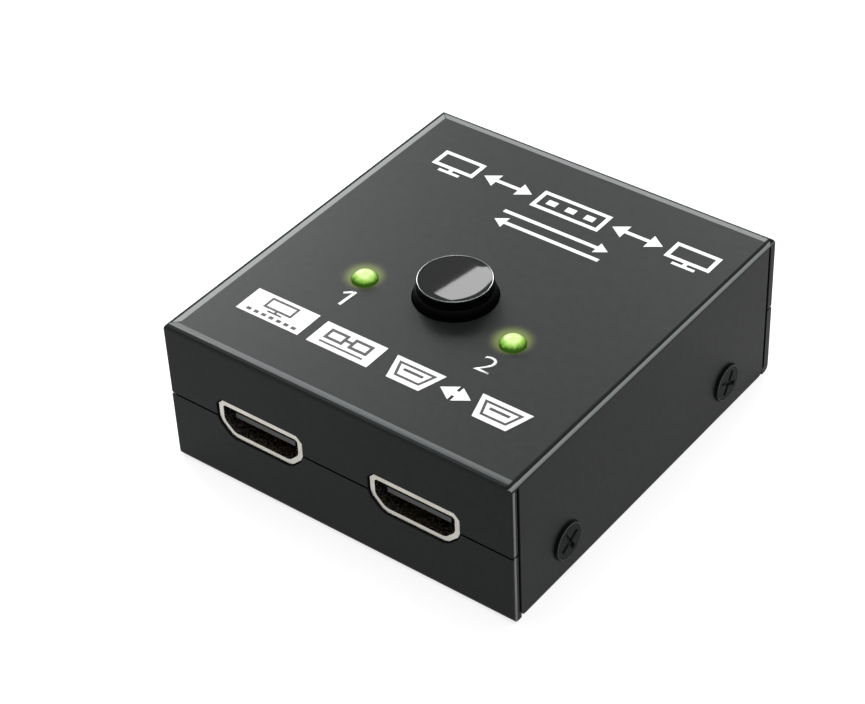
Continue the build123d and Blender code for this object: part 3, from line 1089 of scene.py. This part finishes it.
    def build(self) -> None:
        """Print the top plate."""
        # Two-part pad-printing ink, cured matt: opaque white
        white = Finish(
            "white_pad_print_ink", "#f1f3f3", 0.5, specular=0.2, grain=0.15, relief=0.001, colour_spread=0.02
        )
        # The same ink in charcoal, printed over the white
        charcoal = Finish("charcoal_pad_print_ink", "#353636", 0.5, specular=0.2, grain=0.15, relief=0.001)
        line, bold, fine = self.stroke, self.bold, self.fine
        dots = (-23.4, -22.0, -20.6, -19.2, -17.8, -16.4, -15.0)
        self.printed("printed_route_sign", [
            *self.screen((-23.4, 19.5), (-15.6, 24.6), line),
            *self.arrow(-14.4, -5.4, 22.3, line, 1.6, Heads.BOTH),
            self.outline(self.stamp((-4.2, 19.9), (8.2, 24.35)), line),
            *[self.stamp((x, 21.5), (x + 1.7, 22.7)) for x in (-2.3, 1.15, 4.6)],
            *self.arrow(9.4, 18.4, 22.3, line, 1.6, Heads.BOTH),
            *self.screen((19.6, 19.5), (27.4, 24.6), line),
        ], white)
        self.printed("printed_exchange_sign", [
            *self.arrow(-6.5, 12.4, 16.6, line, 1.3, Heads.RIGHT),
            *self.arrow(-6.5, 12.4, 14.1, line, 1.3, Heads.LEFT),
        ], white)
        self.printed("printed_left_plate", [self.stamp((-24.77, -24.66), (-13.19, -19.31))], white)
        self.printed("printed_left_plate_sign", [
            *self.screen((-21.6, -23.0), (-16.4, -19.9), fine, 1),
            *[self.stamp((x, -24.1), (x + 0.8, -23.5), 1) for x in dots],
        ], charcoal)
        self.printed("printed_right_plate", [self.stamp((-11.5, -24.75), (-0.5, -19.66))], white)
        self.printed("printed_right_plate_sign", [
            self.outline(self.stamp((-9.9, -22.9), (-6.5, -20.6), 1), fine + 0.1),
            self.outline(self.stamp((-5.5, -22.9), (-2.1, -20.6), 1), fine + 0.1),
            self.stamp((-6.5, -22.0), (-5.5, -21.5), 1), self.stamp((-9.9, -23.9), (-2.1, -23.55), 1),
        ], charcoal)
        self.printed("printed_socket_sign", [
            self.mouth((1.5, -24.7), (10.1, -20.0)), *self.arrow(10.6, 15.9, -22.2, bold, 1.6, Heads.BOTH),
            self.mouth((16.4, -24.7), (25.0, -20.0)),
        ], white)
        self.printed("printed_socket_sign_slots", [
            mark for left in (1.5, 16.4) for mark in (
                self.outline(self.mouth((left + 1.0, -23.8), (left + 7.6, -20.8), 1), fine),
                self.stamp((left + 2.6, -22.3), (left + 6.0, -21.8), 1),
            )
        ], charcoal)
        self.printed("printed_1", self.digit_one(), white)
        self.printed("printed_2", [self.digit_two((13.2, -14.66), 3.5)], white)


@dataclass
class VideoSockets:
    """The three sockets: plated shell, black insulator and gilt contacts."""

    places: tuple[str, ...] = ("front_left", "front_right", "rear")
    shell_edge: float = 0.07
    tongue_edge: float = 0.08

    def build(self) -> None:
        """Model and dress every socket."""
        # Nickel over stamped steel, barrel plated: warm grey, with faint die marks
        nickel = Finish("nickel_plated_steel", "#b9b6ae", 0.26, METAL, grain=0.6, relief=0.001)
        # Glass-filled liquid-crystal polymer, moulded: black with a dry bloom
        polymer = Finish("black_moulded_polymer", "#131314", 0.5, ior=1.6, grain=0.2, relief=0.002)
        # Hard gold flash over nickel, plated on the contact strip
        gold = Finish("gold_flashed_contacts", "#d9ab52", 0.2, METAL, grain=0.3, relief=0.0006)
        black = (self.tongue_edge, polymer, Slot.BLACK_MOULDING)
        for place in self.places:
            socket = f"{place}_socket"
            dress_copy(f"{socket}_shell", f"{place}_shell", self.shell_edge, nickel, Slot.PLATED_STEEL)
            dress_copy(f"{socket}_insulator", f"{place}_insulator", *black)
            dress_node(f"{socket}_contacts", gold)


@dataclass
class Electronics:
    """The circuit board, the switch and what else the housing hides."""

    spring: Extent
    wire: float = 0.4
    turns: int = 3

    def build_spring(self, finish: Finish) -> None:
        """Wind the return spring from round wire.

        Args:
            finish: the wire's material.
        """
        (x, y), low = self.spring.middle(), self.spring.low[2]
        height = self.spring.high[2] - low
        put_down()
        bpy.ops.mesh.primitive_circle_add(
            vertices=12, radius=self.wire / 2 * MM, rotation=(math.pi / 2, 0, 0),
            location=((self.spring.radius() - self.wire / 2) * MM, 0, 0),
        )
        spring = bpy.context.object
        spring.name = "wound_return_spring"
        apply_place()
        winding = spring.modifiers.new("winding", "SCREW")
        winding.iterations = self.turns
        winding.screw_offset = (height - self.wire) / self.turns * MM
        winding.steps = 32
        apply_all(spring)
        open_mesh(spring)
        bpy.ops.mesh.fill_holes(sides=0)
        close_mesh()
        spring.location = (x * MM, y * MM, (low + self.wire / 2) * MM)
        apply_place()
        soften(spring, 0.0)
        hand_over(spring, Body.HOUSING, finish, Slot.SPRING_STEEL, "switch_spring")
        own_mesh(spring)

    def build(self) -> None:
        """Dress the hidden nodes and wind the spring."""
        dress_node("circuit_board", SolderMask("green_solder_mask", "#0d5c2c", 0.3, coat=0.4))
        # Brass, turned from hexagonal bar: bright tool lines
        brass = Finish("turned_brass", "#c9a24a", 0.28, METAL, grain=0.1, relief=0.002)
        # Bright zinc on steel, barrel plated
        zinc = Finish("zinc_plated_steel", "#c3c6c8", 0.3, METAL, grain=0.4, relief=0.001)
        # Tinned copper, dipped: soft grey shine
        tinned = Finish("tinned_copper", "#c8c8c4", 0.24, METAL, grain=0.3, relief=0.001)
        # Phosphor bronze strip, rolled
        bronze = Finish("rolled_phosphor_bronze", "#c68e4a", 0.3, METAL, grain=0.2, relief=0.001)
        # Music wire, drawn and coiled
        wire = Finish("drawn_spring_wire", "#9c9ea0", 0.32, METAL, grain=0.1, relief=0.001)
        # PBT, moulded: black and dry
        pbt = Finish("black_moulded_pbt", "#151516", 0.5, grain=0.15, relief=0.002)
        # Acetal, moulded: milky white and waxy
        acetal = Finish("white_moulded_acetal", "#e8e6df", 0.4, ior=1.48, grain=0.2, relief=0.001)
        # Epoxy mould compound, transfer moulded: near black with filler specks
        compound = Finish(
            "moulded_epoxy_compound", "#1d1d1e", 0.55, grain=0.08, relief=0.002, colour_spread=0.2
        )
        # Alumina with a fired glaze, diced
        glaze = Finish("glazed_alumina", "#26262b", 0.3, grain=0.1, relief=0.001)
        for node, finish in {
            "board_standoffs": brass, "board_screws": zinc, "switch_terminals": tinned, "lamp_leads": tinned,
            "switch_bridges": bronze, "switch_base": pbt, "switch_housing": pbt,
            "switch_plunger": acetal, "switching_chip": compound, "board_passives": glaze,
        }.items():
            dress_node(node, finish)
        self.build_spring(wire)


@dataclass(frozen=True)
class Softbox:
    """One softbox: its middle in millimetres, the ways its back and its first side point, and its sides.

    Its radiance is how bright its face is; 1 is paper white.
    """

    name: str
    centre: Triple
    away: Triple
    along: Triple
    size: Spot
    radiance: float

    def hang(self) -> None:
        """Hang it up."""
        put_down()
        bpy.ops.object.light_add(type="AREA")
        light = bpy.context.object
        light.name = self.name
        light.data.shape = "RECTANGLE"
        light.data.size, light.data.size_y = self.size[0] * MM, self.size[1] * MM
        light.data.energy = self.radiance * math.pi * light.data.size * light.data.size_y
        back = Vector(self.away).normalized()
        up = back.cross(Vector(self.along)).normalized()
        turn = Matrix((up.cross(back), up, back)).transposed().to_4x4()
        light.matrix_world = Matrix.Translation(Vector(self.centre) * MM) @ turn


@dataclass
class Studio:
    """The pale floor, the softboxes and the camera at the photograph's viewpoint."""

    azimuth: float = 39.037
    elevation: float = 39.134
    roll: float = -2.876
    distance: float = 356.724
    target: Triple = (-4.948, -4.319, 12.29)
    lens: float = 99.085
    sensor: float = 36.0
    nearest: float = 10.0
    floor_size: float = 6000.0
    floor_gap: float = 0.02
    floor_colour: str = "#9c9c9c"
    floor_glow: float = 0.8
    room_light: float = 0.2
    # The button's disc mirrors the narrow box, whose edge is the straight border across the disc
    softboxes: tuple[Softbox, ...] = (
        Softbox(
            "narrow_softbox", centre=(-361.0, 535.4, 498.7), away=(-0.492, 0.624, 0.607),
            along=(0.495, 0.774, -0.395), size=(133.0, 15.0), radiance=13.2,
        ),
        Softbox(
            "left_softbox", centre=(-650.0, 375.0, 399.0), away=(-0.765, 0.442, 0.470),
            along=(0.5, 0.866, 0.0), size=(420.0, 400.0), radiance=15.0,
        ),
        Softbox(
            "back_softbox", centre=(-212.0, 680.0, 467.0), away=(-0.25, 0.80, 0.55),
            along=(0.954, 0.298, 0.0), size=(300.0, 300.0), radiance=9.0,
        ),
        Softbox(
            "overhead_softbox", centre=(60.0, -40.0, 900.0), away=(0.067, -0.044, 0.997),
            along=(1.0, 0.0, 0.0), size=(500.0, 500.0), radiance=5.2,
        ),
    )

    def build_camera(self) -> None:
        """Stand the camera where the photograph was taken from."""
        around, up = math.radians(self.azimuth), math.radians(self.elevation)
        back = Vector((math.sin(around) * math.cos(up), -math.cos(around) * math.cos(up), math.sin(up)))
        put_down()
        bpy.ops.object.camera_add()
        camera = bpy.context.object
        camera.name = "photo_camera"
        camera.data.lens = self.lens
        camera.data.sensor_width = self.sensor
        camera.data.clip_start = self.nearest * MM
        upright = back.to_track_quat("Z", "Y").to_matrix().to_4x4()
        place = Matrix.Translation((Vector(self.target) + back * self.distance) * MM)
        camera.matrix_world = place @ upright @ Matrix.Rotation(math.radians(self.roll), 4, "Z")
        bpy.context.scene.camera = camera

    def seen(self, tree: Tree) -> Node:
        """Tell what the camera sees, straight or by mirror or glass, from stray light.

        Args:
            tree: the node tree of a material or a world.

        Returns:
            A node that gives 1 for what is seen and 0 for stray light.
        """
        path = add_node(tree, "LightPath").outputs
        by_glass = {0: path["Is Glossy Ray"], 1: path["Is Transmission Ray"]}
        mirrored = add_node(tree, "Math", {"operation": "MAXIMUM"}, by_glass)
        return add_node(tree, "Math", {"operation": "MAXIMUM"}, {0: path["Is Camera Ray"], 1: mirrored})

    def build_floor(self) -> None:
        """Lay the floor, white to the camera and in reflections, and still holding the box's shadow."""
        put_down()
        bpy.ops.mesh.primitive_plane_add(size=self.floor_size * MM, location=(0, 0, -self.floor_gap * MM))
        floor = bpy.context.object
        floor.name = "studio_floor"
        material = bpy.data.materials.new("matt_grey_paper")
        material.use_nodes = True
        tree = material.node_tree
        tree.nodes.clear()
        paper = add_node(tree, "BsdfPrincipled", {"Base Color": linear(self.floor_colour), "Roughness": 0.9})
        lift = add_node(tree, "Math", {"operation": "MULTIPLY", 1: self.floor_glow}, {0: self.seen(tree)})
        glow = add_node(tree, "Emission", {"Color": (1, 1, 1, 1)}, {"Strength": lift})
        both = add_node(tree, "AddShader", links={0: paper, 1: glow})
        add_node(tree, "OutputMaterial", links={"Surface": both})
        floor.data.materials.append(material)

    def build_world(self) -> None:
        """Make the room: soft grey light, white where it is seen."""
        world = bpy.data.worlds.new("studio_room")
        world.use_nodes = True
        tree = world.node_tree
        tree.nodes.clear()
        seen = self.seen(tree)
        strength = add_node(tree, "MapRange", {"To Min": self.room_light, "To Max": 1.0}, {"Value": seen})
        room = add_node(tree, "Background", {"Color": (1, 1, 1, 1)}, {"Strength": strength})
        add_node(tree, "OutputWorld", links={"Surface": room})
        bpy.context.scene.world = world

    def build(self) -> None:
        """Set up the whole studio."""
        bpy.context.scene.view_settings.view_transform = "Standard"
        self.build_floor()
        self.build_world()
        for softbox in self.softboxes:
            softbox.hang()
        self.build_camera()


def main() -> None:
    """Build the switch box and its studio."""
    logging.basicConfig(level=logging.INFO, format="%(message)s")
    cover = Extent.of("top_cover")
    lamps = [Extent.of("lamp_1"), Extent.of("lamp_2")]
    plate_height = cover.high[2]
    cap, ring, disc = [Extent.of(f"button_{part}") for part in ("cap", "ring", "disc")]
    assemblies: list[Any] = [
        Studio(), Housing(cover, Extent.of("side_screws"), lamps), PushButton(cap, ring, disc, plate_height),
        SignalLamps(lamps), TopPrint(plate_height), VideoSockets(), Electronics(Extent.of("switch_spring")),
    ]
    for assembly in assemblies:
        assembly.build()
        LOG.info("%s is done", type(assembly).__name__)


if __name__ == "__main__":
    main()
